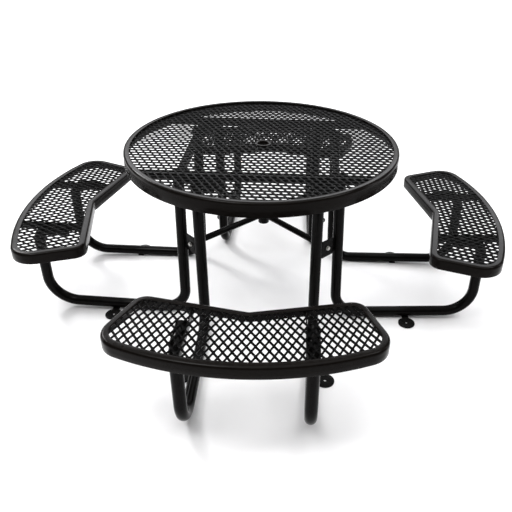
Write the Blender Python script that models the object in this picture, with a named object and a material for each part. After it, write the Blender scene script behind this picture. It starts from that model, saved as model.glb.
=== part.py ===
# Round picnic table with four curved bench seats on bent-tube legs.
# Units are metres, +Z is up, the origin is on the floor under the umbrella hole.
# The table is four-fold symmetric: quarter 0 faces -Y, quarter 1 +X, quarter 2 +Y, quarter 3 -X.
import bpy
import bmesh
from math import sin, cos, tan, pi, sqrt, atan2, acos, radians
from mathutils import Vector, Matrix

# ---------------------------------------------------------------- dimensions
GAP = 0.0003              # clearance left between welded or bolted pieces

TOP_RADIUS = 0.584        # outside of the tabletop rim
TOP_HEIGHT = 0.744        # top face of the tabletop rim
TOP_APRON = 0.058         # height of the tabletop rim
TOP_FLANGE = 0.025        # width of the tabletop rim's flange
TOP_LIP = 0.006           # turned-down inner lip that the panel is welded under
COLLAR_RISE = 0.003       # the collar stands this much above the panel
RIM_FLANGE = 0.028        # width of a seat rim's flange
RIM_WALL = 0.003          # sheet thickness of the rims
RIM_ROUND = 0.011         # rounding of a rim's outer top edge
MESH_THICK = 0.004        # expanded-metal panel
MESH_UNDER = 0.0125       # distance of a panel's edge from the rim's outside

HOLE_RADIUS = 0.0235      # umbrella hole
COLLAR_RADIUS = 0.036
COLLAR_SLEEVE = 0.024     # how far the collar reaches under the top
HUB_RADIUS = 0.0247       # umbrella socket under the table
HUB_BORE = 0.0215
HUB_LOW, HUB_HIGH = 0.352, 0.432

SEAT_HEIGHT = 0.4305      # top face of a seat rim at its inner notch
SEAT_APRON = 0.047
SEAT_NOTCH = 0.780        # inner notch, measured out from the table's axis
SEAT_IN_X, SEAT_IN_OUT = 0.397, 0.693      # inner corner
SEAT_OUT_X = 0.497        # half width at the outer corner
SEAT_ARC = 1.068          # radius of the outer edge
SEAT_NOTCH_FILLET = 0.020
SEAT_IN_FILLET = 0.055
SEAT_OUT_FILLET = 0.092
SEAT_TILT = 0.028         # outward rise of seats and leg runs, radians

TUBE_RADIUS = 0.023
TUBE_SIDE = 0.239         # sideways position of an upright
TUBE_OUT = 0.344          # outward position of an upright at the floor
RISER_OUT = 0.9662        # outward position of a riser
TOE_IN = 0.0145           # risers stand this much closer together than the uprights
BEND_INNER = 0.100
BEND_OUTER = 0.125
BEND_TOP = 0.055
TUBE_END_OUT = 0.832      # where the seat end of a tube stops
TUBE_DOME = 0.012
RUN_HEIGHT = 0.0202       # centre line of the floor run

BAR_Y, BAR_X_WIDTH = 0.312, 0.036          # long bars under the top
BAR_X, BAR_Y_WIDTH = 0.305, 0.026          # short bars between them
BAR_DEPTH, BAR_WALL = 0.028, 0.003
PLATE_THICK = 0.005       # corner plates on the leg tops

BRACE_Z = 0.392           # height of the cross brace
ARM_RADIUS = 0.0135
GUSSET_HEIGHT = 0.080
GUSSET_THICK = 0.005
BOLT_RADIUS = 0.005
BOLT_HOLE = 0.0055
BOLT_HEAD = 0.016         # across flats
BRACKET_THICK = 0.004
BRACKET_HEIGHT = 0.036
BRACKET_CLEAR = 0.0078    # from the outside of the rim, clear of its rounded corner

FOOT_RADIUS = 0.0375
FOOT_THICK = 0.0055
FOOT_SIDE, FOOT_OUT = 0.287, 0.670
FOOT_TAB = 0.030
FOOT_HOLE = 0.0055

SIDES = 14                # facets around a leg tube

# ---------------------------------------------------------------- start clean
for ob in list(bpy.data.objects):
    bpy.data.objects.remove(ob, do_unlink=True)


def coating(name, rgb, rough, metal=0.0):
    """One Principled material per piece."""
    mat = bpy.data.materials.new(name)
    mat.use_nodes = True
    bsdf = mat.node_tree.nodes["Principled BSDF"]
    bsdf.inputs["Base Color"].default_value = (rgb[0], rgb[1], rgb[2], 1.0)
    bsdf.inputs["Roughness"].default_value = rough
    bsdf.inputs["Metallic"].default_value = metal
    return mat


BLACK = (0.012, 0.012, 0.013)
ZINC = (0.42, 0.42, 0.41)


def finish(name, bm, rgb=BLACK, rough=0.28, metal=0.0, smooth=None):
    """Turn a bmesh into a named object; smooth is the auto-smooth angle in degrees."""
    bmesh.ops.recalc_face_normals(bm, faces=bm.faces)
    me = bpy.data.meshes.new(name)
    bm.to_mesh(me)
    bm.free()
    ob = bpy.data.objects.new(name, me)
    bpy.context.scene.collection.objects.link(ob)
    me.materials.append(coating(name, rgb, rough, metal))
    if smooth is not None:
        for p in me.polygons:
            p.use_smooth = True
        me.set_sharp_from_angle(angle=radians(smooth))
    return ob


def quarter(ob, q, tilt_out=None, tilt_z=0.0, lift=0.0):
    """Place a piece built in quarter 0: lift, optional tilt about a sideways axis, then a turn about Z."""
    m = Matrix.Rotation(q * pi / 2, 4, 'Z')
    if tilt_out is not None:
        m = (m @ Matrix.Translation((0, -tilt_out, tilt_z))
             @ Matrix.Rotation(-SEAT_TILT, 4, 'X')
             @ Matrix.Translation((0, tilt_out, -tilt_z)))
    ob.matrix_world = m @ Matrix.Translation((0, 0, lift))
    return ob


# ---------------------------------------------------------------- shape tools
def plate(name, outer, holes, z0, z1, **kw):
    """Flat plate from a 2-D outline with holes, between two heights."""
    bm = bmesh.new()
    edges = []
    for loop in [outer] + holes:
        vs = [bm.verts.new((p[0], p[1], z0)) for p in loop]
        for i in range(len(vs)):
            edges.append(bm.edges.new((vs[i], vs[(i + 1) % len(vs)])))
    bmesh.ops.triangle_fill(bm, use_beauty=True, use_dissolve=False, edges=edges)
    faces = list(bm.faces)
    made = bmesh.ops.extrude_face_region(bm, geom=faces)
    top = [v for v in made["geom"] if isinstance(v, bmesh.types.BMVert)]
    bmesh.ops.translate(bm, verts=top, vec=(0, 0, z1 - z0))
    return finish(name, bm, **kw)


def arc(cx, cy, r, a0, a1, n):
    return [(cx + r * cos(a0 + (a1 - a0) * i / n), cy + r * sin(a0 + (a1 - a0) * i / n)) for i in range(n + 1)]


def circle(cx, cy, r, n, turn=0.0):
    return [(cx + r * cos(turn + 2 * pi * i / n), cy + r * sin(turn + 2 * pi * i / n)) for i in range(n)]


def fillet(p0, p1, p2, r, n):
    """Arc of radius r that rounds the corner p1."""
    p0, p1, p2 = Vector(p0), Vector(p1), Vector(p2)
    d1, d2 = (p0 - p1).normalized(), (p2 - p1).normalized()
    half = acos(max(-1.0, min(1.0, d1.dot(d2)))) / 2
    t = r / tan(half)
    a, b = p1 + d1 * t, p1 + d2 * t
    c = p1 + (d1 + d2).normalized() * (r / sin(half))
    a0, a1 = atan2(a.y - c.y, a.x - c.x), atan2(b.y - c.y, b.x - c.x)
    da = (a1 - a0 + pi) % (2 * pi) - pi
    return [(c.x + r * cos(a0 + da * i / n), c.y + r * sin(a0 + da * i / n)) for i in range(n + 1)]


def arc_corner(a, b, big, r, n):
    """Arc of radius r tangent to the line a-b and, inside, to the circle of radius big about the origin."""
    a, b = Vector(a), Vector(b)
    d = (b - a).normalized()
    base = a + Vector((-d.y, d.x)) * r
    h = base.dot(d)
    c = base + d * (-h + sqrt(h * h - base.dot(base) + (big - r) ** 2))
    t1 = Vector((d.y, -d.x))
    t2 = c.normalized()
    a0, a1 = atan2(t1.y, t1.x), atan2(t2.y, t2.x)
    return [(c.x + r * cos(a0 + (a1 - a0) * i / n), c.y + r * sin(a0 + (a1 - a0) * i / n)) for i in range(n + 1)]


def seat_outline(n_in=5, n_out=6, n_arc=14):
    """Closed outline of a seat as (sideways, outward) points, counter-clockwise in that plane."""
    notch, inner = (0.0, SEAT_NOTCH), (SEAT_IN_X, SEAT_IN_OUT)
    out_y = sqrt(SEAT_ARC ** 2 - SEAT_OUT_X ** 2)
    outer = (SEAT_OUT_X, out_y)
    half = fillet((-inner[0], inner[1]), notch, inner, SEAT_NOTCH_FILLET, 2)[1:]
    half += fillet(notch, inner, outer, SEAT_IN_FILLET, n_in)
    corner = arc_corner(inner, outer, SEAT_ARC, SEAT_OUT_FILLET, n_out)
    last = corner[-1]
    half += corner
    a_end = atan2(last[1], last[0])
    side = half[1:]
    arc_pts = arc(0, 0, SEAT_ARC, a_end, pi - a_end, n_arc)[1:-1]
    mirror = [(-p[0], p[1]) for p in reversed(side)]
    return [half[0]] + side + arc_pts + mirror


def offset(loop, d):
    """Move a closed counter-clockwise outline inward by d, mitred."""
    out = []
    n = len(loop)
    for i in range(n):
        p, a, b = Vector(loop[i]), Vector(loop[i - 1]), Vector(loop[(i + 1) % n])
        e1, e2 = (p - a).normalized(), (b - p).normalized()
        n1, n2 = Vector((-e1.y, e1.x)), Vector((-e2.y, e2.x))
        q = p + (n1 + n2) * (d / (1 + n1.dot(n2)))
        out.append((q.x, q.y))
    return out


def rim(name, outline, apron, w, lip=0.0):
    """Rolled rim: upright apron, rounded outer top edge, flat inward flange and an optional inner lip."""
    r, t = RIM_ROUND, RIM_WALL
    k = r * (1 - sqrt(0.5))
    profile = [(0, -apron), (0, -r), (k, -k), (r, 0), (w, 0)]
    profile += [(w, -t - lip), (w - t, -t - lip), (w - t, -t)] if lip else [(w, -t)]
    profile += [(r, -t), (t, -r), (t, -apron)]
    bm = bmesh.new()
    rings = []
    for d, z in profile:
        rings.append([bm.verts.new((p[0], -p[1], z)) for p in offset(outline, d)])
    n = len(outline)
    for j in range(len(rings)):
        a, b = rings[j], rings[(j + 1) % len(rings)]
        for i in range(n):
            bm.faces.new((a[i], a[(i + 1) % n], b[(i + 1) % n], b[i]))
    return finish(name, bm, smooth=50)


def path_points(corners, radii, steps):
    """Centre line through 3-D corners with arcs of the given radii."""
    pts = [Vector(corners[0])]
    for i in range(1, len(corners) - 1):
        p0, p1, p2 = (Vector(c) for c in corners[i - 1:i + 2])
        d1, d2 = (p0 - p1).normalized(), (p2 - p1).normalized()
        half = acos(max(-1.0, min(1.0, d1.dot(d2)))) / 2
        t = radii[i - 1] / tan(half)
        a = p1 + d1 * t
        c = p1 + (d1 + d2).normalized() * (radii[i - 1] / sin(half))
        u = (a - c).normalized()
        w = (p1 + d2 * t - c).normalized()
        total = acos(max(-1.0, min(1.0, u.dot(w))))
        v = (w - u * cos(total)).normalized()
        for k in range(steps[i - 1] + 1):
            s = total * k / steps[i - 1]
            pts.append(c + (u * cos(s) + v * sin(s)) * radii[i - 1])
    pts.append(Vector(corners[-1]))
    return pts


def sweep(name, pts, r, sides, dome=0.0, start_side=Vector((1, 0, 0))):
    """Round bar along a centre line, flat at its start, flat or domed at its end."""
    n = len(pts)
    tang = []
    for i in range(n):
        a = pts[i] - pts[i - 1] if i > 0 else pts[1] - pts[0]
        b = pts[i + 1] - pts[i] if i < n - 1 else a
        tang.append((a.normalized() + b.normalized()).normalized())
    side = (start_side - tang[0] * start_side.dot(tang[0])).normalized()
    stations = []
    for i in range(n):
        side = (side - tang[i] * side.dot(tang[i])).normalized()
        stations.append((pts[i], side.copy(), tang[i].cross(side), r))
    if dome > 0:
        p, s, u, _ = stations[-1]
        for ang in (30, 60):
            stations.append((p + tang[-1] * dome * sin(radians(ang)), s, u, r * cos(radians(ang))))
    bm = bmesh.new()
    rings = []
    for p, s, u, rr in stations:
        rings.append([bm.verts.new(p + (s * cos(2 * pi * (k + 0.5) / sides) + u * sin(2 * pi * (k + 0.5) / sides)) * rr)
                      for k in range(sides)])
    for a, b in zip(rings, rings[1:]):
        for k in range(sides):
            bm.faces.new((a[k], a[(k + 1) % sides], b[(k + 1) % sides], b[k]))
    bm.faces.new(rings[0])
    bm.faces.new(rings[-1])
    return finish(name, bm, smooth=40)


def revolve(name, profile, sides, **kw):
    """Closed ring turned about Z from a closed (radius, height) profile."""
    bm = bmesh.new()
    rings = [[bm.verts.new((p[0] * cos(2 * pi * k / sides), p[0] * sin(2 * pi * k / sides), p[1]))
              for k in range(sides)] for p in profile]
    for j in range(len(rings)):
        a, b = rings[j], rings[(j + 1) % len(rings)]
        for k in range(sides):
            bm.faces.new((a[k], a[(k + 1) % sides], b[(k + 1) % sides], b[k]))
    return finish(name, bm, smooth=40, **kw)


# ---------------------------------------------------------------- tabletop
top_outline = circle(0, 0, TOP_RADIUS, 80)
top_rim = rim("tabletop_rim", top_outline, TOP_APRON, TOP_FLANGE, TOP_LIP)
top_rim.location = (0, 0, TOP_HEIGHT)

# the panel lies inside the rim's lip and around the umbrella collar
mesh_top = TOP_HEIGHT - RIM_WALL - TOP_LIP - GAP
mesh_low = mesh_top - MESH_THICK
plate("tabletop_mesh", circle(0, 0, TOP_RADIUS - TOP_FLANGE - GAP, 80),
      [circle(0, 0, COLLAR_RADIUS + GAP, 32)], mesh_low, mesh_top, rough=0.32)

sleeve = HOLE_RADIUS + 0.003
c1 = mesh_top + COLLAR_RISE
c0 = mesh_low + 0.001
revolve("umbrella_collar", [(HOLE_RADIUS, c1 - 0.001), (HOLE_RADIUS + 0.0012, c1),
                            (COLLAR_RADIUS - 0.0012, c1), (COLLAR_RADIUS, c1 - 0.001),
                            (COLLAR_RADIUS, c0), (sleeve, c0), (sleeve, c1 - COLLAR_SLEEVE),
                            (HOLE_RADIUS, c1 - COLLAR_SLEEVE)], 32)

# long and short bars: channels that are open underneath
bar_high = mesh_low - GAP
bar_low = bar_high - BAR_DEPTH


def channel(name, width, length, along_x, where):
    """Downward-open channel bar."""
    w, t = width / 2, BAR_WALL
    prof = [(-w, bar_low), (-w, bar_high), (w, bar_high), (w, bar_low),
            (w - t, bar_low), (w - t, bar_high - t), (-w + t, bar_high - t), (-w + t, bar_low)]
    bm = bmesh.new()
    ends = []
    for s in (-length / 2, length / 2):
        ends.append([bm.verts.new((s, p[0], p[1]) if along_x else (p[0], s, p[1])) for p in prof])
    n = len(prof)
    for i in range(n):
        bm.faces.new((ends[0][i], ends[0][(i + 1) % n], ends[1][(i + 1) % n], ends[1][i]))
    for ring in ends:
        bm.faces.new(ring)
    ob = finish(name, bm)
    ob.location = (where[0], where[1], 0)
    return ob


inner_r = TOP_RADIUS - BRACKET_CLEAR
long_half = sqrt(inner_r ** 2 - (BAR_Y + BAR_X_WIDTH / 2) ** 2) - 0.0008
short_half = BAR_Y - BAR_X_WIDTH / 2 - GAP
for tag, sy in (("front", -1), ("back", 1)):
    channel("top_bar_" + tag, BAR_X_WIDTH, 2 * long_half, True, (0, sy * BAR_Y))
for tag, sx in (("left", -1), ("right", 1)):
    channel("top_bar_" + tag, BAR_Y_WIDTH, 2 * short_half, False, (sx * BAR_X, 0))

# corner plates that tie two leg tops to the bars
plate_high = bar_low - GAP
plate_low = plate_high - PLATE_THICK
up_out = TUBE_OUT - (plate_low - RUN_HEIGHT) * sin(SEAT_TILT)
lo, hi, cut = TUBE_SIDE - 0.027, up_out + 0.025, 0.082
corner = [(lo, lo + 0.085), (lo + 0.085, lo), (hi, lo), (hi, hi - cut), (hi - cut, hi), (lo, hi)]
corner_names = ("front_right", "back_right", "back_left", "front_left")
for q, tag in enumerate(corner_names):
    quarter(plate("corner_plate_" + tag, [(p[0], -p[1]) for p in corner], [], plate_low, plate_high), q)

# ---------------------------------------------------------------- legs
tube_top = plate_low - GAP
seat_under_gap = RIM_WALL + GAP + MESH_THICK + GAP
mid_out = 0.90
tube_axis_z = SEAT_HEIGHT - seat_under_gap - TUBE_RADIUS + SEAT_TILT * (mid_out - SEAT_NOTCH)
run_top = RUN_HEIGHT + (tube_axis_z - RUN_HEIGHT - (mid_out - TUBE_OUT) * sin(SEAT_TILT)) / cos(SEAT_TILT)
leg_high = RUN_HEIGHT + (tube_top - RUN_HEIGHT - TUBE_RADIUS * sin(SEAT_TILT)) / cos(SEAT_TILT)
seat_names = ("front", "right", "back", "left")
riser_side = TUBE_SIDE - TOE_IN
for q, tag in enumerate(seat_names):
    for sx, end in ((-1, "a"), (1, "b")):
        corners = [(sx * TUBE_SIDE, -TUBE_OUT, leg_high),
                   (sx * TUBE_SIDE, -TUBE_OUT, RUN_HEIGHT),
                   (sx * riser_side, -RISER_OUT, RUN_HEIGHT),
                   (sx * riser_side, -RISER_OUT, run_top),
                   (sx * riser_side, -(TUBE_END_OUT + TUBE_DOME), run_top)]
        pts = path_points(corners, (BEND_INNER, BEND_OUTER, BEND_TOP), (5, 6, 4))
        leg = sweep("leg_%s_%s" % (tag, end), pts, TUBE_RADIUS, SIDES, dome=TUBE_DOME)
        quarter(leg, q, TUBE_OUT, RUN_HEIGHT)

        # anchor foot: disc with a bolt hole and a tab under the run
        run_side = TUBE_SIDE - TOE_IN * (FOOT_OUT - TUBE_OUT) / (RISER_OUT - TUBE_OUT)
        half = FOOT_TAB / 2
        a = acos(-sqrt(1 - (half / FOOT_RADIUS) ** 2))
        disc = arc(FOOT_SIDE, FOOT_OUT, FOOT_RADIUS, -a, a, 22)
        foot_loop = disc + [(run_side - 0.012, FOOT_OUT + half), (run_side - 0.012, FOOT_OUT - half)]
        hole = circle(FOOT_SIDE, FOOT_OUT, FOOT_HOLE, 12)
        foot = plate("foot_%s_%s" % (tag, end), [(sx * p[0], -p[1]) for p in foot_loop],
                     [[(sx * p[0], -p[1]) for p in hole]], 0.0, FOOT_THICK)
        quarter(foot, q)

# ---------------------------------------------------------------- seats
outline = seat_outline()
seat_mesh_high = -RIM_WALL - GAP
for q, tag in enumerate(seat_names):
    r = rim("seat_rim_" + tag, outline, SEAT_APRON, RIM_FLANGE)
    quarter(r, q, SEAT_NOTCH, SEAT_HEIGHT, SEAT_HEIGHT)
    m = plate("seat_mesh_" + tag, [(p[0], -p[1]) for p in offset(outline, MESH_UNDER)], [],
              seat_mesh_high - MESH_THICK, seat_mesh_high, rough=0.32)
    quarter(m, q, SEAT_NOTCH, SEAT_HEIGHT, SEAT_HEIGHT)
    for sx, end in ((-1, "a"), (1, "b")):
        # upright strip beside the leg end, from the inner apron to the outer apron
        x1 = riser_side - TUBE_RADIUS - GAP
        x0 = x1 - BRACKET_THICK
        slope = (SEAT_NOTCH - SEAT_IN_OUT) / SEAT_IN_X
        near = SEAT_NOTCH - slope * x0 + BRACKET_CLEAR
        far = sqrt(SEAT_ARC ** 2 - x1 ** 2) - BRACKET_CLEAR
        strip = [(sx * x0, -near), (sx * x1, -near), (sx * x1, -far), (sx * x0, -far)]
        high = seat_mesh_high - MESH_THICK - GAP
        b = plate("seat_bracket_%s_%s" % (tag, end), strip, [], high - BRACKET_HEIGHT, high)
        quarter(b, q, SEAT_NOTCH, SEAT_HEIGHT, SEAT_HEIGHT)

# ---------------------------------------------------------------- cross brace
revolve("brace_hub", [(HUB_BORE, HUB_LOW), (HUB_RADIUS, HUB_LOW), (HUB_RADIUS, HUB_HIGH), (HUB_BORE, HUB_HIGH)], 28)

lean_out = TUBE_OUT - (BRACE_Z - RUN_HEIGHT) * sin(SEAT_TILT)
mid = (TUBE_SIDE + lean_out) / 2
spread = sqrt(2) * (lean_out - TUBE_SIDE) / 2
half_len = spread - TUBE_RADIUS - GAP - GUSSET_HEIGHT / 2 * sin(SEAT_TILT) * sqrt(0.5) - 0.0002
plate_dist = mid * sqrt(2)
for q, tag in enumerate(corner_names):
    turn = Matrix.Rotation(q * pi / 2 - pi / 4, 4, 'Z')
    # gusset: upright plate between the two uprights of a corner, drilled for the bolt
    h = GUSSET_HEIGHT / 2
    c = 0.012
    loop = [(-half_len, -h + c), (-half_len + c, -h), (half_len - c, -h), (half_len, -h + c),
            (half_len, h - c), (half_len - c, h), (-half_len + c, h), (-half_len, h - c)]
    g = plate("gusset_" + tag, loop, [circle(0, 0, BOLT_HOLE, 12)], -GUSSET_THICK / 2, GUSSET_THICK / 2)
    stand = Matrix(((0, 0, 1, plate_dist), (1, 0, 0, 0), (0, 1, 0, BRACE_Z), (0, 0, 0, 1)))
    g.matrix_world = turn @ stand

    # brace arm: round bar from the hub to the gusset, drilled at its outer end
    start, end = HUB_RADIUS + 0.0006, plate_dist - GUSSET_THICK / 2 - GAP
    bm = bmesh.new()
    n = 14
    rings = []
    for x, rr in ((start, ARM_RADIUS), (end, ARM_RADIUS), (end, BOLT_HOLE), (end - 0.020, BOLT_HOLE)):
        rings.append([bm.verts.new((x, rr * cos(2 * pi * k / n), rr * sin(2 * pi * k / n))) for k in range(n)])
    for a, b in zip(rings, rings[1:]):
        for k in range(n):
            bm.faces.new((a[k], a[(k + 1) % n], b[(k + 1) % n], b[k]))
    bm.faces.new(rings[0])
    bm.faces.new(rings[-1])
    arm = finish("brace_arm_" + tag, bm, smooth=40)
    arm.matrix_world = turn @ Matrix.Translation((0, 0, BRACE_Z))

    # hexagon bolt with its washer face
    face = plate_dist + GUSSET_THICK / 2 + GAP
    bm = bmesh.new()
    rings = []
    hexr = BOLT_HEAD / sqrt(3)
    steps = [(face - 0.018, BOLT_RADIUS, 12), (face, BOLT_RADIUS, 12), (face, 0.0105, 12), (face + 0.0015, 0.0105, 12)]
    for x, rr, n in steps:
        rings.append([bm.verts.new((x, rr * cos(2 * pi * k / n), rr * sin(2 * pi * k / n))) for k in range(n)])
    head = []
    for x, s in ((face + 0.0015, 1.0), (face + 0.0066, 1.0), (face + 0.0078, 0.86)):
        ring = []
        for k in range(12):
            ang = 2 * pi * k / 12
            rad = hexr if k % 2 == 0 else hexr * cos(pi / 6)
            ring.append(bm.verts.new((x, s * rad * cos(ang), s * rad * sin(ang))))
        head.append(ring)
    rings += head
    for a, b in zip(rings, rings[1:]):
        for k in range(12):
            bm.faces.new((a[k], a[(k + 1) % 12], b[(k + 1) % 12], b[k]))
    bm.faces.new(rings[0])
    bm.faces.new(rings[-1])
    bolt = finish("bolt_" + tag, bm, rgb=ZINC, rough=0.35, metal=1.0)
    bolt.matrix_world = turn @ Matrix.Translation((0, 0, BRACE_Z))
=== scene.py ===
import bpy
import bmesh
import numpy as np
from math import sin, cos, tan, pi, sqrt, atan2, acos, radians
from mathutils import Vector, Matrix


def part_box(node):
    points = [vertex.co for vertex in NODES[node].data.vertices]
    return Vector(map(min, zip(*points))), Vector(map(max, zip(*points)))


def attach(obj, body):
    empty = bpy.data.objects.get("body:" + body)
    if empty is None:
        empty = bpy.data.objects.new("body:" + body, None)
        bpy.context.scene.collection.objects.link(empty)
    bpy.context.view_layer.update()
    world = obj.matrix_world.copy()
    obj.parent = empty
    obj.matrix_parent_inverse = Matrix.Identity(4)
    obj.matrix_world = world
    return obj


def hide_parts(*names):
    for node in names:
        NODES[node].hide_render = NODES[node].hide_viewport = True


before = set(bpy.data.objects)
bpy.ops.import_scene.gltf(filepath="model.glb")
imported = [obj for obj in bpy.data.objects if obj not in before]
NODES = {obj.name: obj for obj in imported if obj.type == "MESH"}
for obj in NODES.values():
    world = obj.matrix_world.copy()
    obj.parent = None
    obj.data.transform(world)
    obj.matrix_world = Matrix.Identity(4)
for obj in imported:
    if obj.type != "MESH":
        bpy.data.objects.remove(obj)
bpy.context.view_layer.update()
scene = bpy.context.scene

# ------------------------------------------------------------------ dimensions, as in the CAD
TOP_RADIUS, TOP_HEIGHT, TOP_APRON = 0.584, 0.744, 0.058
TOP_FLANGE, TOP_LIP, RIM_FLANGE, RIM_WALL = 0.025, 0.006, 0.028, 0.003
SEAT_HEIGHT, SEAT_APRON = 0.4305, 0.047
SEAT_NOTCH, SEAT_IN_X, SEAT_IN_OUT = 0.780, 0.397, 0.693
SEAT_OUT_X, SEAT_ARC, SEAT_CORNER = 0.497, 1.068, 0.092
TILT = 0.028
TUBE_R, TUBE_SIDE, TUBE_OUT = 0.023, 0.239, 0.344
RISER_OUT, TOE_IN, RUN_Z = 0.9662, 0.0145, 0.0202
SEATS = ("front", "right", "back", "left")
CORNERS = ("front_right", "back_right", "back_left", "front_left")
SKY, SKY_LOW, SKY_PALE = 2.2, 0.045, 0.42


# ------------------------------------------------------------------ materials
def nodes_of(name):
    mat = bpy.data.materials.new(name)
    mat.use_nodes = True
    nt = mat.node_tree
    return mat, nt, nt.nodes, nt.links, nt.nodes["Principled BSDF"]


def coating(name, dark, light, rough, spread, peel, grime, spec=0.045, coat=0.0, seed=0.0):
    """Black coating on steel: mottled colour, uneven gloss, orange-peel bump and a little dust."""
    mat, nt, n, l, b = nodes_of(name)
    tc = n.new("ShaderNodeTexCoord")
    mp = n.new("ShaderNodeMapping")
    mp.inputs["Location"].default_value = (seed, seed * 1.7, seed * 0.6)
    l.new(tc.outputs["Object"], mp.inputs["Vector"])

    def noise(scale, detail, rough_=0.5):
        t = n.new("ShaderNodeTexNoise")
        t.inputs["Scale"].default_value = scale
        t.inputs["Detail"].default_value = detail
        t.inputs["Roughness"].default_value = rough_
        l.new(mp.outputs["Vector"], t.inputs["Vector"])
        return t

    big, mid, fine = noise(7.0, 3.0), noise(60.0, 4.0, 0.6), noise(peel[0], 2.0)
    ramp = n.new("ShaderNodeValToRGB")
    ramp.color_ramp.elements[0].position = 0.30
    ramp.color_ramp.elements[1].position = 0.72
    ramp.color_ramp.elements[0].color = (*dark, 1)
    ramp.color_ramp.elements[1].color = (*light, 1)
    l.new(mid.outputs["Fac"], ramp.inputs["Fac"])
    # dust settles on faces that look up
    geo = n.new("ShaderNodeNewGeometry")
    sep = n.new("ShaderNodeSeparateXYZ")
    l.new(geo.outputs["Normal"], sep.inputs["Vector"])
    up = n.new("ShaderNodeMapRange")
    up.inputs["From Min"].default_value = 0.55
    up.inputs["From Max"].default_value = 1.0
    up.inputs["To Max"].default_value = grime
    l.new(sep.outputs["Z"], up.inputs["Value"])
    mul = n.new("ShaderNodeMath"); mul.operation = "MULTIPLY"
    l.new(up.outputs["Result"], mul.inputs[0])
    l.new(big.outputs["Fac"], mul.inputs[1])
    mix = n.new("ShaderNodeMix"); mix.data_type = "RGBA"
    l.new(mul.outputs["Value"], mix.inputs["Factor"])
    l.new(ramp.outputs["Color"], mix.inputs[6])
    mix.inputs[7].default_value = (0.10, 0.098, 0.095, 1)
    l.new(mix.outputs[2], b.inputs["Base Color"])
    mr = n.new("ShaderNodeMapRange")
    mr.inputs["From Min"].default_value = 0.25
    mr.inputs["From Max"].default_value = 0.75
    mr.inputs["To Min"].default_value = rough - spread
    mr.inputs["To Max"].default_value = rough + spread
    l.new(mid.outputs["Fac"], mr.inputs["Value"])
    l.new(mr.outputs["Result"], b.inputs["Roughness"])
    bump = n.new("ShaderNodeBump")
    bump.inputs["Strength"].default_value = peel[1]
    bump.inputs["Distance"].default_value = peel[2]
    l.new(fine.outputs["Fac"], bump.inputs["Height"])
    l.new(bump.outputs["Normal"], b.inputs["Normal"])
    b.inputs["Specular IOR Level"].default_value = spec
    b.inputs["IOR"].default_value = 1.5
    if coat:
        b.inputs["Coat Weight"].default_value = coat
        b.inputs["Coat Roughness"].default_value = 0.06
    return mat


def zinc(name):
    mat, nt, n, l, b = nodes_of(name)
    tc = n.new("ShaderNodeTexCoord")
    a = n.new("ShaderNodeTexNoise"); a.inputs["Scale"].default_value = 260.0; a.inputs["Detail"].default_value = 3.0
    l.new(tc.outputs["Object"], a.inputs["Vector"])
    ramp = n.new("ShaderNodeValToRGB")
    ramp.color_ramp.elements[0].color = (0.30, 0.30, 0.29, 1)
    ramp.color_ramp.elements[1].color = (0.62, 0.61, 0.58, 1)
    l.new(a.outputs["Fac"], ramp.inputs["Fac"])
    l.new(ramp.outputs["Color"], b.inputs["Base Color"])
    mr = n.new("ShaderNodeMapRange")
    mr.inputs["To Min"].default_value = 0.25
    mr.inputs["To Max"].default_value = 0.5
    l.new(a.outputs["Fac"], mr.inputs["Value"])
    l.new(mr.outputs["Result"], b.inputs["Roughness"])
    bump = n.new("ShaderNodeBump"); bump.inputs["Strength"].default_value = 0.25; bump.inputs["Distance"].default_value = 0.0003
    l.new(a.outputs["Fac"], bump.inputs["Height"])
    l.new(bump.outputs["Normal"], b.inputs["Normal"])
    b.inputs["Metallic"].default_value = 1.0
    return mat


M_MESH = coating("mesh_coating", (0.0012, 0.0012, 0.0013), (0.0026, 0.0025, 0.0025), 0.23, 0.05, (420.0, 0.25, 0.0004), 0.02, spec=0.028, seed=1.0)
M_RIM = coating("rim_coating", (0.0030, 0.0022, 0.0018), (0.0046, 0.0036, 0.0030), 0.20, 0.05, (260.0, 0.10, 0.0005), 0.02, spec=0.055, seed=2.0)
M_LEG = coating("leg_coating", (0.0020, 0.0018, 0.0018), (0.0040, 0.0036, 0.0034), 0.12, 0.03, (300.0, 0.08, 0.0004), 0.03, spec=0.048, seed=3.0)
M_BRK = coating("bracket_coating", (0.0024, 0.0023, 0.0023), (0.0048, 0.0045, 0.0043), 0.24, 0.06, (340.0, 0.15, 0.0004), 0.06, seed=4.0)
M_FOOT = coating("foot_coating", (0.0024, 0.0023, 0.0023), (0.0048, 0.0045, 0.0043), 0.26, 0.06, (340.0, 0.15, 0.0004), 0.08, seed=5.0)
M_ZINC = zinc("zinc_bolt")
SLOT_MAT = {"mesh_coating": M_MESH, "rim_coating": M_RIM, "leg_coating": M_LEG,
            "bracket_coating": M_BRK, "foot_coating": M_FOOT, "zinc_bolt": M_ZINC}


# ------------------------------------------------------------------ helpers
def add(name, mesh_or_bm, slot, matrix=None, angle=35.0, replaces=()):
    """Make a piece, place it, give it a material and tie it to the table."""
    if isinstance(mesh_or_bm, bmesh.types.BMesh):
        me = bpy.data.meshes.new(name)
        bmesh.ops.recalc_face_normals(mesh_or_bm, faces=mesh_or_bm.faces)
        mesh_or_bm.to_mesh(me)
        mesh_or_bm.free()
    else:
        me = mesh_or_bm
    if matrix is not None:
        me.transform(matrix)
    ob = bpy.data.objects.new(name, me)
    scene.collection.objects.link(ob)
    me.materials.append(SLOT_MAT[slot])
    for p in me.polygons:
        p.use_smooth = True
    if angle is not None:
        me.set_sharp_from_angle(angle=radians(angle))
    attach(ob, "root")
    if replaces:
        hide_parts(*replaces)
    return ob


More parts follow.
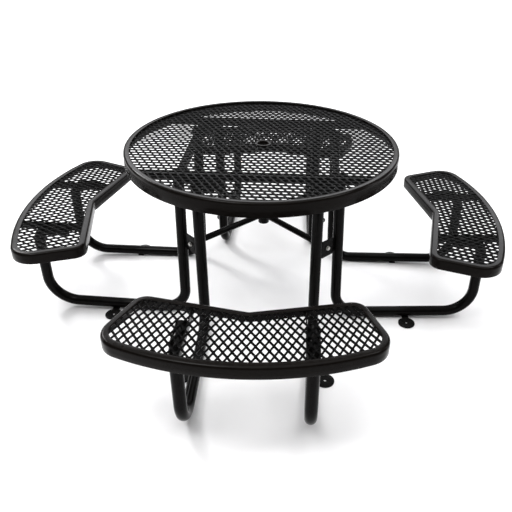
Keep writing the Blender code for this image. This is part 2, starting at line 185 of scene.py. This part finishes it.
def place(q, tilt_out=None, tilt_z=0.0, lift=0.0):
    m = Matrix.Rotation(q * pi / 2, 4, 'Z')
    if tilt_out is not None:
        m = (m @ Matrix.Translation((0, -tilt_out, tilt_z)) @ Matrix.Rotation(-TILT, 4, 'X')
             @ Matrix.Translation((0, tilt_out, -tilt_z)))
    return m @ Matrix.Translation((0, 0, lift))


def fillet(p0, p1, p2, r, n):
    p0, p1, p2 = Vector(p0), Vector(p1), Vector(p2)
    d1, d2 = (p0 - p1).normalized(), (p2 - p1).normalized()
    half = acos(max(-1.0, min(1.0, d1.dot(d2)))) / 2
    t = r / tan(half)
    a, b = p1 + d1 * t, p1 + d2 * t
    c = p1 + (d1 + d2).normalized() * (r / sin(half))
    a0, a1 = atan2(a.y - c.y, a.x - c.x), atan2(b.y - c.y, b.x - c.x)
    da = (a1 - a0 + pi) % (2 * pi) - pi
    return [(c.x + r * cos(a0 + da * i / n), c.y + r * sin(a0 + da * i / n)) for i in range(n + 1)]


def arc_corner(a, b, big, r, n):
    a, b = Vector(a), Vector(b)
    d = (b - a).normalized()
    base = a + Vector((-d.y, d.x)) * r
    h = base.dot(d)
    c = base + d * (-h + sqrt(h * h - base.dot(base) + (big - r) ** 2))
    t1, t2 = Vector((d.y, -d.x)), c.normalized()
    a0, a1 = atan2(t1.y, t1.x), atan2(t2.y, t2.x)
    return [(c.x + r * cos(a0 + (a1 - a0) * i / n), c.y + r * sin(a0 + (a1 - a0) * i / n)) for i in range(n + 1)]


def seat_outline(n_in=14, n_out=18, n_arc=70, n_notch=6):
    """Closed seat outline in (sideways, outward), with extra points along the straights."""
    notch, inner = (0.0, SEAT_NOTCH), (SEAT_IN_X, SEAT_IN_OUT)
    out_y = sqrt(SEAT_ARC ** 2 - SEAT_OUT_X ** 2)
    outer = (SEAT_OUT_X, out_y)
    half = fillet((-inner[0], inner[1]), notch, inner, 0.020, n_notch)[n_notch // 2:]
    c1 = fillet(notch, inner, outer, 0.055, n_in)
    c2 = arc_corner(inner, outer, SEAT_ARC, SEAT_CORNER, n_out)
    p, q = half[-1], c1[0]
    half += [(p[0] + (q[0] - p[0]) * k / 12, p[1] + (q[1] - p[1]) * k / 12) for k in range(1, 12)]
    half += c1
    p, q = c1[-1], c2[0]
    half += [(p[0] + (q[0] - p[0]) * k / 4, p[1] + (q[1] - p[1]) * k / 4) for k in range(1, 4)]
    half += c2
    e = atan2(c2[-1][1], c2[-1][0])
    arc = [(SEAT_ARC * cos(e + (pi - 2 * e) * k / n_arc), SEAT_ARC * sin(e + (pi - 2 * e) * k / n_arc)) for k in range(1, n_arc)]
    return half + arc + [(-x, y) for x, y in reversed(half[1:])]


def offset(loop, d):
    out, n = [], len(loop)
    for i in range(n):
        p, a, b = Vector(loop[i]), Vector(loop[i - 1]), Vector(loop[(i + 1) % n])
        e1, e2 = (p - a).normalized(), (b - p).normalized()
        n1, n2 = Vector((-e1.y, e1.x)), Vector((-e2.y, e2.x))
        q = p + (n1 + n2) * (d / (1 + n1.dot(n2)))
        out.append((q.x, q.y))
    return out


def circle(r, n):
    return [(r * cos(2 * pi * i / n), r * sin(2 * pi * i / n)) for i in range(n)]


def rim_profile(apron, w, lip, r=0.011, t=0.003):
    """Section of a rolled rim: (inward, height), clockwise from the apron's foot on the outside."""
    e = 0.0011
    pts = [(e, -apron), (0.3 * e, -apron + 0.3 * e), (0, -apron + e), (0, -apron * 0.55), (0, -r - 0.004)]
    for k in range(0, 9):
        a = pi - (pi / 2) * k / 8
        pts.append((r + r * cos(a), -r + r * sin(a)))
    pts += [(r + 0.003, 0), (w * 0.75, 0), (w - e, 0), (w - 0.3 * e, -0.3 * e), (w, -e)]
    if lip:
        f = -t - lip
        pts += [(w, f * 0.5), (w, f + e), (w - 0.3 * e, f + 0.3 * e), (w - e, f), (w - t + e, f),
                (w - t + 0.3 * e, f + 0.3 * e), (w - t, f + e), (w - t, -t - 0.0004), (w - t - 0.0004, -t)]
    else:
        pts += [(w, -t + e), (w - 0.3 * e, -t + 0.3 * e), (w - e, -t)]
    pts += [(r + 0.002, -t)]
    for k in range(0, 6):
        a = pi / 2 + (pi / 2) * k / 5
        pts.append((r + (r - t) * cos(a), -r + (r - t) * sin(a)))
    pts += [(t, -apron * 0.55), (t, -apron + e), (t - 0.3 * e, -apron + 0.3 * e), (t - e, -apron)]
    return pts


def rim(name, outline, apron, slot, matrix, node, w, lip=0.0):
    prof = rim_profile(apron, w, lip)
    cache = {}
    rings = []
    bm = bmesh.new()
    for d, z in prof:
        key = round(d, 6)
        if key not in cache:
            cache[key] = offset(outline, d)
        rings.append([bm.verts.new((p[0], -p[1], z)) for p in cache[key]])
    n = len(outline)
    for j in range(len(rings)):
        a, b = rings[j], rings[(j + 1) % len(rings)]
        for i in range(n):
            bm.faces.new((a[i], a[(i + 1) % n], b[(i + 1) % n], b[i]))
    return add(name, bm, slot, matrix, 60.0, (node,))


def path_points(corners, radii, steps, along=6):
    pts = [Vector(corners[0])]
    for i in range(1, len(corners) - 1):
        p0, p1, p2 = (Vector(c) for c in corners[i - 1:i + 2])
        d1, d2 = (p0 - p1).normalized(), (p2 - p1).normalized()
        half = acos(max(-1.0, min(1.0, d1.dot(d2)))) / 2
        t = radii[i - 1] / tan(half)
        a = p1 + d1 * t
        c = p1 + (d1 + d2).normalized() * (radii[i - 1] / sin(half))
        last = pts[-1].copy()
        for k in range(1, along):
            pts.append(last.lerp(a, k / along))
        u, w = (a - c).normalized(), (p1 + d2 * t - c).normalized()
        total = acos(max(-1.0, min(1.0, u.dot(w))))
        v = (w - u * cos(total)).normalized()
        for k in range(steps[i - 1] + 1):
            s = total * k / steps[i - 1]
            pts.append(c + (u * cos(s) + v * sin(s)) * radii[i - 1])
    pts.append(Vector(corners[-1]))
    return pts


def sweep_bm(pts, r, sides, start_lip=0.0, dome=0.0, side0=Vector((1, 0, 0))):
    n = len(pts)
    tang = []
    for i in range(n):
        a = pts[i] - pts[i - 1] if i > 0 else pts[1] - pts[0]
        b = pts[i + 1] - pts[i] if i < n - 1 else a
        tang.append((a.normalized() + b.normalized()).normalized())
    side = (side0 - tang[0] * side0.dot(tang[0])).normalized()
    st = []
    for i in range(n):
        side = (side - tang[i] * side.dot(tang[i])).normalized()
        st.append((pts[i], side.copy(), tang[i].cross(side), r))
    if start_lip:
        p, s, u, _ = st[0]
        st[0] = (p + tang[0] * start_lip, s, u, r)
        st.insert(0, (p + tang[0] * 0.3 * start_lip, s, u, r - 0.3 * start_lip))
        st.insert(0, (p, s, u, r - start_lip))
    if dome:
        p, s, u, _ = st[-1]
        for ang in (14, 28, 42, 56, 70, 81):
            st.append((p + tang[-1] * dome * sin(radians(ang)), s, u, r * cos(radians(ang))))
    bm = bmesh.new()
    rings = []
    for p, s, u, rr in st:
        rings.append([bm.verts.new(p + (s * cos(2 * pi * (k + 0.5) / sides) + u * sin(2 * pi * (k + 0.5) / sides)) * rr)
                      for k in range(sides)])
    for a, b in zip(rings, rings[1:]):
        for k in range(sides):
            bm.faces.new((a[k], a[(k + 1) % sides], b[(k + 1) % sides], b[k]))
    bm.faces.new(rings[0])
    bm.faces.new(rings[-1])
    return bm


def revolve_bm(profile, sides, closed=True):
    bm = bmesh.new()
    rings = [[bm.verts.new((p[0] * cos(2 * pi * k / sides), p[0] * sin(2 * pi * k / sides), p[1]))
              for k in range(sides)] for p in profile]
    m = len(rings) if closed else len(rings) - 1
    for j in range(m):
        a, b = rings[j], rings[(j + 1) % len(rings)]
        for k in range(sides):
            bm.faces.new((a[k], a[(k + 1) % sides], b[(k + 1) % sides], b[k]))
    if not closed:
        bm.faces.new(rings[0])
        bm.faces.new(rings[-1])
    return bm


def bevelled(node, slot, width=0.0009, name=None):
    """A CAD plate with its edges rounded as a coated steel edge is."""
    bm = bmesh.new()
    bm.from_mesh(NODES[node].data)
    bmesh.ops.remove_doubles(bm, verts=bm.verts, dist=1e-6)
    bmesh.ops.dissolve_limit(bm, angle_limit=radians(3), verts=bm.verts, edges=bm.edges)
    bm.edges.ensure_lookup_table()
    sharp = [e for e in bm.edges if len(e.link_faces) == 2 and e.calc_face_angle() > radians(25)]
    bmesh.ops.bevel(bm, geom=sharp, offset=width, segments=3, profile=0.5, affect='EDGES', clamp_overlap=True)
    return add(name or node + "_look", bm, slot, None, 40.0, (node,))


# ------------------------------------------------------------------ expanded metal
def expanded(name, boundary, S, L, turn, phase, z_mid, slot, matrix, node, hole=0.0,
             half=0.0037, thick=0.0024, lean=0.12, up_y=True):
    """Expanded-metal panel: rhombic openings S wide and L long, with leaning, rounded strands.

    The long way of the openings runs along local Y, turned by `turn`. Strands lean about their own
    length, as slit and stretched sheet does. Strands that pass the boundary are gathered onto it."""
    A, B = S / 2, L / 2
    norm = sqrt(A * A + B * B)
    # one quarter of the opening, from its blunt corner to its sharp one, as centre-line and edge points
    ex, ey = A - half * norm / B, B - half * norm / A
    f_blunt, f_mid, f_sharp = 0.10, 0.46, 0.86
    quarter_c = [(A, 0.0), (A * (1 - f_blunt), B * f_blunt), (A * (1 - f_mid), B * f_mid),
                 (A * (1 - f_sharp), B * f_sharp), (0.0, B)]
    quarter_e = [(ex * 0.935, 0.0), (ex * 0.905, ey * 0.085), (ex * 0.53, ey * 0.47), (ex * 0.105, ey * 0.86), (0.0, ey * 0.905)]
    ring_c, ring_e = [], []
    for sx, sy, rev in ((1, 1, False), (-1, 1, True), (-1, -1, False), (1, -1, True)):
        qc = [(sx * x, sy * y) for x, y in quarter_c]
        qe = [(sx * x, sy * y) for x, y in quarter_e]
        if rev:
            qc, qe = qc[::-1], qe[::-1]
        ring_c += qc[:-1]
        ring_e += qe[:-1]
    C, E = np.array(ring_c), np.array(ring_e)
    n = len(C)
    D = E - C
    # how far each edge point stands towards +X across its strand, which sets its height
    across = np.sign(D[:, 0]) * np.hypot(D[:, 0], D[:, 1])
    across[np.abs(C[:, 0]) < 1e-9] = 0.0
    blunt = np.abs(C[:, 1]) < 1e-9
    across[blunt] = np.sign(D[blunt, 0]) * np.abs(D[blunt, 0])
    layers = [(0.0, thick), (0.68, thick * 0.72), (1.0, 0.0), (0.68, -thick * 0.72), (0.0, -thick)]
    pts = np.array(boundary)
    lo, hi = pts.min(0), pts.max(0)
    ct, sn = cos(turn), sin(turn)
    mid = (lo + hi) / 2
    reach = np.hypot(*(hi - lo)) / 2 + L
    cells = []
    ni, nj = int(reach / S) + 2, int(reach / L) + 2
    for i in range(-ni, ni + 1):
        for j in range(-nj, nj + 1):
            for h in (0, 1):
                u, v = (i + 0.5 * h) * S + phase[0], (j + 0.5 * h) * L + phase[1]
                cells.append((mid[0] + u * ct - v * sn, mid[1] + u * sn + v * ct))
    cells = np.array(cells)

    # signed distance to the boundary, positive inside, and the nearest boundary point
    P0, P1 = pts, np.roll(pts, -1, 0)
    seg = P1 - P0
    seg2 = (seg ** 2).sum(1)

    def nearest(Q):
        out_d, out_p = np.empty(len(Q)), np.empty((len(Q), 2))
        for k in range(0, len(Q), 4000):
            q = Q[k:k + 4000]
            w = q[:, None, :] - P0[None]
            t = np.clip((w * seg[None]).sum(2) / seg2[None], 0, 1)
            foot = P0[None] + seg[None] * t[..., None]
            d = np.hypot(*(np.moveaxis(q[:, None, :] - foot, 2, 0)))
            m = d.argmin(1)
            r = np.arange(len(q))
            f = foot[r, m]
            out_p[k:k + 4000] = f
            inside = np.zeros(len(q), bool)
            x, y = q[:, 0], q[:, 1]
            for a, b in zip(P0, P1):
                c = (a[1] > y) != (b[1] > y)
                with np.errstate(divide="ignore", invalid="ignore"):
                    xx = (b[0] - a[0]) * (y - a[1]) / (b[1] - a[1]) + a[0]
                inside ^= c & (x < xx)
            out_d[k:k + 4000] = np.where(inside, d[r, m], -d[r, m])
        return out_d, out_p

    d, _ = nearest(cells)
    keep = d > -0.006
    if hole:
        keep &= np.hypot(cells[:, 0], cells[:, 1]) > hole - 0.004
    cells = cells[keep]
    rot = np.array([[ct, sn], [-sn, ct]])
    verts, faces = [], []
    Cr, Er = C @ rot, E @ rot
    nc = len(cells)
    V = np.empty((nc, len(layers), n, 3))
    for k, (f, z) in enumerate(layers):
        xy = Cr + (Er - Cr) * f
        V[:, k, :, :2] = cells[:, None, :] + xy[None]
        V[:, k, :, 2] = z + across * f * lean
    V = V.reshape(-1, 3)
    # gather what lies outside the boundary, or inside the hole, onto it
    uniq, inv = np.unique(np.round(V[:, :2], 6), axis=0, return_inverse=True)
    inv = inv.reshape(-1)
    dd, foot = nearest(uniq)
    moved = uniq.copy()
    out = dd < 0
    moved[out] = foot[out]
    if hole:
        rr = np.hypot(uniq[:, 0], uniq[:, 1])
        inn = rr < hole
        moved[inn] = uniq[inn] / rr[inn, None] * hole
    V[:, :2] = moved[inv]
    idx = np.arange(nc * len(layers) * n).reshape(nc, len(layers), n)
    a = idx[:, :-1, :]
    b = idx[:, 1:, :]
    F = np.stack([a, np.roll(a, -1, 2), np.roll(b, -1, 2), b], -1).reshape(-1, 4)
    # merge shared centre lines
    key = np.round(V * 1e5).astype(np.int64)
    _, first, inv = np.unique(key, axis=0, return_index=True, return_inverse=True)
    inv = inv.reshape(-1)
    W = V[first]
    F = inv[F]
    # close the outer edge: centre-line edges used by one cell only
    top = inv[idx[:, 0, :]]
    bot = inv[idx[:, -1, :]]
    e0 = np.stack([top, np.roll(top, -1, 1)], -1).reshape(-1, 2)
    b0 = np.stack([bot, np.roll(bot, -1, 1)], -1).reshape(-1, 2)
    s = np.sort(e0, 1)
    _, ei, ec = np.unique(s, axis=0, return_inverse=True, return_counts=True)
    single = ec[ei.reshape(-1)] == 1
    side = np.stack([e0[single, 1], e0[single, 0], b0[single, 0], b0[single, 1]], -1)
    F = np.vstack([F, side])
    ok = [f for f in F.tolist() if len(set(f)) == 4]
    tri = []
    for f in F.tolist():
        g = list(dict.fromkeys(f))
        if len(g) == 3:
            tri.append(g)
    me = bpy.data.meshes.new(name)
    W[:, 2] += z_mid
    W[:, 1] *= -1 if up_y else 1
    me.from_pydata(W.tolist(), [], ok + tri)
    me.validate()
    bm = bmesh.new()
    bm.from_mesh(me)
    bpy.data.meshes.remove(me)
    bmesh.ops.delete(bm, geom=[v for v in bm.verts if not v.link_faces], context='VERTS')
    return add(name, bm, slot, matrix, None, (node,))


S_WAY, L_WAY = 0.0292, 0.0505
top_outline = circle(TOP_RADIUS, 240)
under = 0.0125
top_panel = circle(TOP_RADIUS - under, 240)
mesh_edge = TOP_HEIGHT - RIM_WALL - TOP_LIP - 0.0003
expanded("tabletop_mesh_look", top_panel, S_WAY, L_WAY, -pi / 3, (0.0100, 0.0033), mesh_edge - 0.0028, "mesh_coating",
         None, "tabletop_mesh", hole=0.0275, half=0.0036, thick=0.0031, lean=0.20)
rim("tabletop_rim_look", top_outline, TOP_APRON, "rim_coating", Matrix.Translation((0, 0, TOP_HEIGHT)), "tabletop_rim",
    TOP_FLANGE, TOP_LIP)
outline = seat_outline()
seat_panel = offset(outline, under)
for q, tag in enumerate(SEATS):
    m = place(q, SEAT_NOTCH, SEAT_HEIGHT, SEAT_HEIGHT)
    rim("seat_rim_%s_look" % tag, outline, SEAT_APRON, "rim_coating", m, "seat_rim_" + tag, RIM_FLANGE)
    across, along, turn = (0.0292, 0.0495, -0.084) if q == 0 else (0.0274, 0.0505, 0.0)
    shift = ((0.0011, 0.0025), (0.0051, 0.0023), (0.0, 0.0), (0.0115, -0.0010))[q]
    expanded("seat_mesh_%s_look" % tag, seat_panel, across, along, turn, shift, -0.0068, "mesh_coating",
             m, "seat_mesh_" + tag, half=0.0041, thick=0.0038)

# ------------------------------------------------------------------ umbrella ring and brace hub
c0 = mesh_edge + 0.0003
h = 0.0235
ring = [(h, c0 - 0.023), (h, c0 + 0.0012), (h + 0.0005, c0 + 0.0024), (h + 0.0016, c0 + 0.0030),
        (0.0345, c0 + 0.0030), (0.0355, c0 + 0.0025), (0.036, c0 + 0.0014), (0.036, c0 + 0.0004), (0.0356, c0),
        (0.0265, c0), (0.0265, c0 - 0.023), (0.0260, c0 - 0.0237), (h + 0.0005, c0 - 0.0237)]
add("umbrella_collar_look", revolve_bm(ring, 96), "rim_coating", None, 50.0, ("umbrella_collar",))
hub = [(0.0215, 0.353), (0.0222, 0.352), (0.0240, 0.352), (0.0247, 0.353), (0.0247, 0.431), (0.0240, 0.432), (0.0222, 0.432), (0.0215, 0.431)]
add("brace_hub_look", revolve_bm(hub, 72), "leg_coating", None, 40.0, ("brace_hub",))

# ------------------------------------------------------------------ legs and feet
leg_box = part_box("leg_front_a")
mid_out = 0.90
plate_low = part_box("corner_plate_front_left")[0].z
axis_z = SEAT_HEIGHT - 0.0076 - TUBE_R + TILT * (mid_out - SEAT_NOTCH)
run_top = RUN_Z + (axis_z - RUN_Z - (mid_out - TUBE_OUT) * sin(TILT)) / cos(TILT)
leg_high = RUN_Z + (plate_low - 0.0003 - RUN_Z - TUBE_R * sin(TILT)) / cos(TILT)
riser_side = TUBE_SIDE - TOE_IN
for q, tag in enumerate(SEATS):
    for sx, end in ((-1, "a"), (1, "b")):
        corners = [(sx * TUBE_SIDE, -TUBE_OUT, leg_high), (sx * TUBE_SIDE, -TUBE_OUT, RUN_Z),
                   (sx * riser_side, -RISER_OUT, RUN_Z), (sx * riser_side, -RISER_OUT, run_top),
                   (sx * riser_side, -0.844, run_top)]
        pts = path_points(corners, (0.100, 0.125, 0.055), (20, 24, 14))
        add("leg_%s_%s_look" % (tag, end), sweep_bm(pts, TUBE_R, 48, 0.0012, 0.012), "leg_coating",
            place(q, TUBE_OUT, RUN_Z), 50.0, ("leg_%s_%s" % (tag, end),))

        # anchor foot with a rounded edge, a bolt hole and a tab under the run
        fx, fy, fr, ft = 0.287, 0.670, 0.0375, 0.0055
        run_side = TUBE_SIDE - TOE_IN * (fy - TUBE_OUT) / (RISER_OUT - TUBE_OUT)
        half = 0.015
        a = acos(-sqrt(1 - (half / fr) ** 2))
        loop = [(fx + fr * cos(-a + 2 * a * k / 56), fy + fr * sin(-a + 2 * a * k / 56)) for k in range(57)]
        loop += [(run_side - 0.012, fy + half), (run_side - 0.012, fy - half)]
        hole = [(fx + 0.0055 * cos(2 * pi * k / 28), fy + 0.0055 * sin(2 * pi * k / 28)) for k in range(28)]
        bm = bmesh.new()
        edges = []
        for lp in (loop, hole):
            vs = [bm.verts.new((sx * p[0], -p[1], 0.0)) for p in lp]
            edges += [bm.edges.new((vs[i], vs[(i + 1) % len(vs)])) for i in range(len(vs))]
        bmesh.ops.triangle_fill(bm, use_beauty=True, use_dissolve=False, edges=edges)
        made = bmesh.ops.extrude_face_region(bm, geom=list(bm.faces))
        up = [v for v in made["geom"] if isinstance(v, bmesh.types.BMVert)]
        bmesh.ops.translate(bm, verts=up, vec=(0, 0, ft))
        bmesh.ops.recalc_face_normals(bm, faces=bm.faces)
        lips = [e for e in bm.edges if len(e.link_faces) == 2 and e.calc_face_angle() > radians(60)]
        bmesh.ops.bevel(bm, geom=lips, offset=0.0009, segments=3, profile=0.5, affect='EDGES', clamp_overlap=True)
        add("foot_%s_%s_look" % (tag, end), bm, "foot_coating", place(q), 40.0, ("foot_%s_%s" % (tag, end),))

# ------------------------------------------------------------------ brace arms
for q, tag in enumerate(CORNERS):
    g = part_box("gusset_" + tag)
    m = (g[0] + g[1]) / 2
    dist = sqrt(m.x ** 2 + m.y ** 2)
    z = m.z
    end = dist - 0.0028
    r = 0.0135
    prof = [(0.0253, r), (end - 0.0012, r), (end - 0.0003, r - 0.0004), (end, r - 0.0012), (end, 0.0055), (end - 0.02, 0.0055)]
    bm = bmesh.new()
    n = 40
    rings = [[bm.verts.new((x, rr * cos(2 * pi * k / n), rr * sin(2 * pi * k / n))) for k in range(n)] for x, rr in prof]
    for a, b in zip(rings, rings[1:]):
        for k in range(n):
            bm.faces.new((a[k], a[(k + 1) % n], b[(k + 1) % n], b[k]))
    bm.faces.new(rings[0])
    bm.faces.new(rings[-1])
    turn = Matrix.Rotation(q * pi / 2 - pi / 4, 4, 'Z')
    add("brace_arm_%s_look" % tag, bm, "leg_coating", turn @ Matrix.Translation((0, 0, z)), 40.0, ("brace_arm_" + tag,))

# ------------------------------------------------------------------ plates, bars and bolts
for tag in SEATS:
    bevelled("top_bar_" + tag, "bracket_coating", 0.0007)
    for end in "ab":
        bevelled("seat_bracket_%s_%s" % (tag, end), "bracket_coating", 0.0010)
for tag in CORNERS:
    bevelled("gusset_" + tag, "bracket_coating", 0.0010)
    bevelled("corner_plate_" + tag, "bracket_coating", 0.0010)
    bevelled("bolt_" + tag, "zinc_bolt", 0.0005)

# ------------------------------------------------------------------ floor, light, camera
bm = bmesh.new()
bmesh.ops.create_grid(bm, x_segments=8, y_segments=8, size=22.0)
me = bpy.data.meshes.new("floor")
bm.to_mesh(me); bm.free()
floor = bpy.data.objects.new("floor", me)
scene.collection.objects.link(floor)
fm, nt, n, l, b = nodes_of("floor_paper")
tc = n.new("ShaderNodeTexCoord")
ns = n.new("ShaderNodeTexNoise"); ns.inputs["Scale"].default_value = 3.0
l.new(tc.outputs["Object"], ns.inputs["Vector"])
rp = n.new("ShaderNodeValToRGB")
rp.color_ramp.elements[0].color = (0.885, 0.880, 0.885, 1)
rp.color_ramp.elements[1].color = (0.905, 0.900, 0.905, 1)
l.new(ns.outputs["Fac"], rp.inputs["Fac"])
l.new(rp.outputs["Color"], b.inputs["Base Color"])
b.inputs["Roughness"].default_value = 0.9
b.inputs["Specular IOR Level"].default_value = 0.0
me.materials.append(fm)

world = bpy.data.worlds.new("studio")
scene.world = world
world.use_nodes = True
wn, wl = world.node_tree.nodes, world.node_tree.links
bg = wn["Background"]
wc = wn.new("ShaderNodeTexCoord")
ws = wn.new("ShaderNodeSeparateXYZ")
wl.new(wc.outputs["Generated"], ws.inputs["Vector"])
wr = wn.new("ShaderNodeValToRGB")
wr.color_ramp.interpolation = 'EASE'
wr.color_ramp.elements[0].position = 0.72
wr.color_ramp.elements[1].position = 0.86
wr.color_ramp.elements[0].color = (SKY_LOW, SKY_LOW, SKY_LOW * 1.02, 1)
wr.color_ramp.elements[1].color = (1.0, 1.0, 1.0, 1)
# a pale wall meets the floor at the horizon
for at, value in ((0.0, SKY_PALE), (0.08, SKY_PALE), (0.14, SKY_LOW)):
    step = wr.color_ramp.elements.new(at)
    step.color = (value, value, value, 1)
wl.new(ws.outputs["Z"], wr.inputs["Fac"])
wl.new(wr.outputs["Color"], bg.inputs["Color"])
bg.inputs["Strength"].default_value = SKY


def area(name, loc, target, size, power, color=(1, 1, 1), size_y=None):
    d = bpy.data.lights.new(name, 'AREA')
    d.energy = power
    d.color = color
    d.shape = 'RECTANGLE'
    d.size = size
    d.size_y = size_y or size
    ob = bpy.data.objects.new(name, d)
    scene.collection.objects.link(ob)
    v = Vector(target) - Vector(loc)
    ob.matrix_world = Matrix.Translation(loc) @ v.to_track_quat('-Z', 'Y').to_matrix().to_4x4()
    return ob


area("key", (-1.3, -1.6, 4.0), (0, 0, 0.4), 1.3, 70)
area("fill", (2.6, -0.6, 3.8), (0, 0, 0.4), 1.0, 38)
area("rear_left", (-3.5, 3.0, 3.8), (0, 0, 0.5), 1.1, 150)
area("far", (0.0, 10.0, 5.0), (0, 10.001, 0), 13.0, 260, (1, 1, 1), 5.0)
area("back", (0.0, 5.0, 3.8), (0, 0.0, 0.6), 8.0, 210, (0.96, 0.97, 1.0), 1.6)
area("left", (-4.6, 0.6, 1.8), (0, 0, 0.5), 0.5, 26, (1, 1, 1), 3.0)
area("right", (4.6, 0.4, 1.8), (0, 0, 0.5), 0.5, 26, (1, 1, 1), 3.0)

cx, cy, cz = 0.1568, -2.31494, 1.63352
yaw, pitch, roll, f_px, ppx = 0.00169, -0.56527, 0.02887, 564.78, 39.318
fwd = Vector((-sin(yaw) * cos(pitch), cos(yaw) * cos(pitch), sin(pitch)))
right = Vector((cos(yaw), sin(yaw), 0))
up = right.cross(fwd)
r2 = right * cos(roll) + up * sin(roll)
u2 = -right * sin(roll) + up * cos(roll)
cam = bpy.data.cameras.new("camera")
cam.sensor_width = 36.0
cam.sensor_fit = 'HORIZONTAL'
cam.lens = f_px * 36.0 / 512.0
cam.shift_x = -ppx / 512.0
cam.clip_end = 200.0
cam.dof.use_dof = False
co = bpy.data.objects.new("camera", cam)
scene.collection.objects.link(co)
co.matrix_world = Matrix(((r2.x, u2.x, -fwd.x, cx), (r2.y, u2.y, -fwd.y, cy), (r2.z, u2.z, -fwd.z, cz), (0, 0, 0, 1)))
scene.camera = co
scene.view_settings.view_transform = 'Standard'

bpy.context.view_layer.update()
